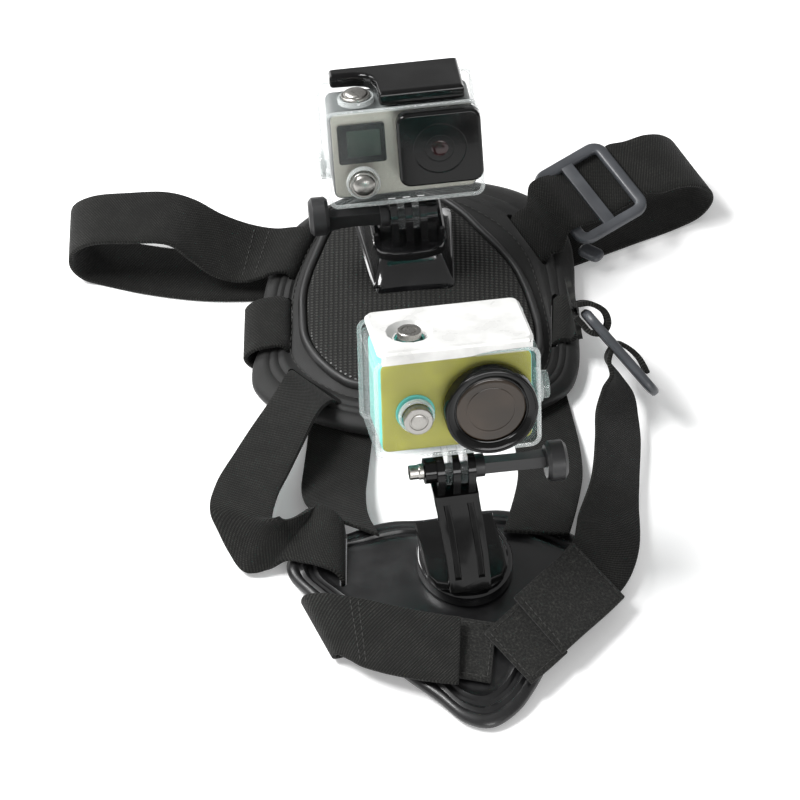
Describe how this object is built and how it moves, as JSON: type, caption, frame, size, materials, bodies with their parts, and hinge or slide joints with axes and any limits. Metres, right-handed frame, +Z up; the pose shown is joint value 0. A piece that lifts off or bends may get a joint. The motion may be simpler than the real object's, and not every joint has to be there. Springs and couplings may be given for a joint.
{
  "type": "pet camera harness",
  "caption": "Pet harness with a padded back panel and a chest shield, elastic webbing straps, and two mounts that carry boxed action cameras in clear housings.",
  "frame": {"origin": "on the floor under the middle of the harness as it lies spread out", "axes": "+Z up, +Y from the chest pad towards the back pad, +X to the right as seen from the chest pad"},
  "size_m": [0.2702, 0.3138, 0.1185],
  "materials": {
    "webbing": "elastic twill webbing",
    "loop_cloth": "napped hook-and-loop cloth",
    "pad": "moulded foam with a smooth rim",
    "mesh": "knotted spacer mesh",
    "trim": "raised piping",
    "gloss_pad": "glossy moulded rubber",
    "gloss_black": "polished moulding",
    "matt_black": "fine-grained moulding",
    "satin_grey": "satin moulding",
    "clear_shell": "clear polycarbonate",
    "silver_body": "silver paint",
    "screen": "display under a clear cover",
    "lens_window": "black lens surround under a clear cover",
    "steel": "turned steel",
    "white_lid": "white moulding",
    "olive_body": "olive moulding",
    "lens_glass": "tinted lens cover"
  },
  "bodies": {
    "harness": {"back_pad": "pad", "back_mesh": "mesh", "back_trim": "trim", "back_ramp": "gloss_black", "back_buckle": "gloss_black", "pad_tab": "satin_grey", "chest_pad": "gloss_pad", "chest_base": "gloss_black", "chest_arm": "gloss_black", "chest_nut": "steel", "slider_rear": "satin_grey", "slider_side": "satin_grey", "strap_rear_left": "webbing", "strap_rear_right": "webbing", "strap_mid_left": "webbing", "strap_mid_right": "webbing", "strap_lower_left": "webbing", "strap_neck_left": "webbing", "strap_neck_right": "webbing", "strap_hanging": "webbing", "band_left": "webbing", "band_right": "loop_cloth", "tab_left": "loop_cloth", "tab_right": "loop_cloth"},
    "rear_camera": {"rear_housing": "clear_shell", "rear_door": "clear_shell", "rear_latch": "gloss_black", "rear_body": "silver_body", "rear_screen": "screen", "rear_window": "lens_window"},
    "chest_camera": {"chest_housing": "clear_shell", "chest_door": "clear_shell", "chest_lid": "white_lid", "chest_body": "olive_body", "chest_bezel": "matt_black", "chest_glass": "lens_glass"},
    "rear_screw": {"back_screw": "matt_black"},
    "chest_screw": {"chest_screw": "matt_black"},
    "rear_top_button": {"rear_top_button": "steel"},
    "rear_front_button": {"rear_front_button": "steel"},
    "rear_side_button": {"rear_side_button": "clear_shell"},
    "chest_top_button": {"chest_top_button": "steel"},
    "chest_front_button": {"chest_front_button": "steel"},
    "chest_side_button": {"chest_side_button": "clear_shell"}
  },
  "joints": [
    {"name": "rear_camera_tilt", "type": "hinge", "parent": "harness", "child": "rear_camera", "pos_m": [0.00618, 0.08453, 0.04606], "axis": [0.9931, 0.1114, 0.0366], "range_deg": [-25, 60]},
    {"name": "chest_camera_tilt", "type": "hinge", "parent": "harness", "child": "chest_camera", "pos_m": [0.02378, -0.07897, 0.06446], "axis": [0.9839, 0.177, -0.0244], "range_deg": [-40, 60]},
    {"name": "rear_screw_turn", "type": "hinge", "parent": "harness", "child": "rear_screw", "pos_m": [0.00618, 0.08453, 0.04606], "axis": [0.9931, 0.1114, 0.0366], "continuous": true},
    {"name": "chest_screw_turn", "type": "hinge", "parent": "harness", "child": "chest_screw", "pos_m": [0.02378, -0.07897, 0.06446], "axis": [0.9839, 0.177, -0.0244], "continuous": true},
    {"name": "rear_top_press", "type": "slide", "parent": "rear_camera", "child": "rear_top_button", "axis": [0.0667, -0.28, -0.9577], "range_m": [0, 0.0015], "stiffness_N_per_m": 1000},
    {"name": "rear_front_press", "type": "slide", "parent": "rear_camera", "child": "rear_front_button", "axis": [-0.0964, 0.9535, -0.2855], "range_m": [0, 0.0015], "stiffness_N_per_m": 1000},
    {"name": "rear_side_press", "type": "slide", "parent": "rear_camera", "child": "rear_side_button", "axis": [0.9931, 0.1114, 0.0366], "range_m": [0, 0.0015], "stiffness_N_per_m": 1000},
    {"name": "chest_top_press", "type": "slide", "parent": "chest_camera", "child": "chest_top_button", "axis": [0.0248, -0.2705, -0.9624], "range_m": [0, 0.0015], "stiffness_N_per_m": 1000},
    {"name": "chest_front_press", "type": "slide", "parent": "chest_camera", "child": "chest_front_button", "axis": [-0.177, 0.9463, -0.2705], "range_m": [0, 0.0015], "stiffness_N_per_m": 1000},
    {"name": "chest_side_press", "type": "slide", "parent": "chest_camera", "child": "chest_side_button", "axis": [-0.9839, -0.177, 0.0244], "range_m": [0, 0.0015], "stiffness_N_per_m": 1000}
  ]
}
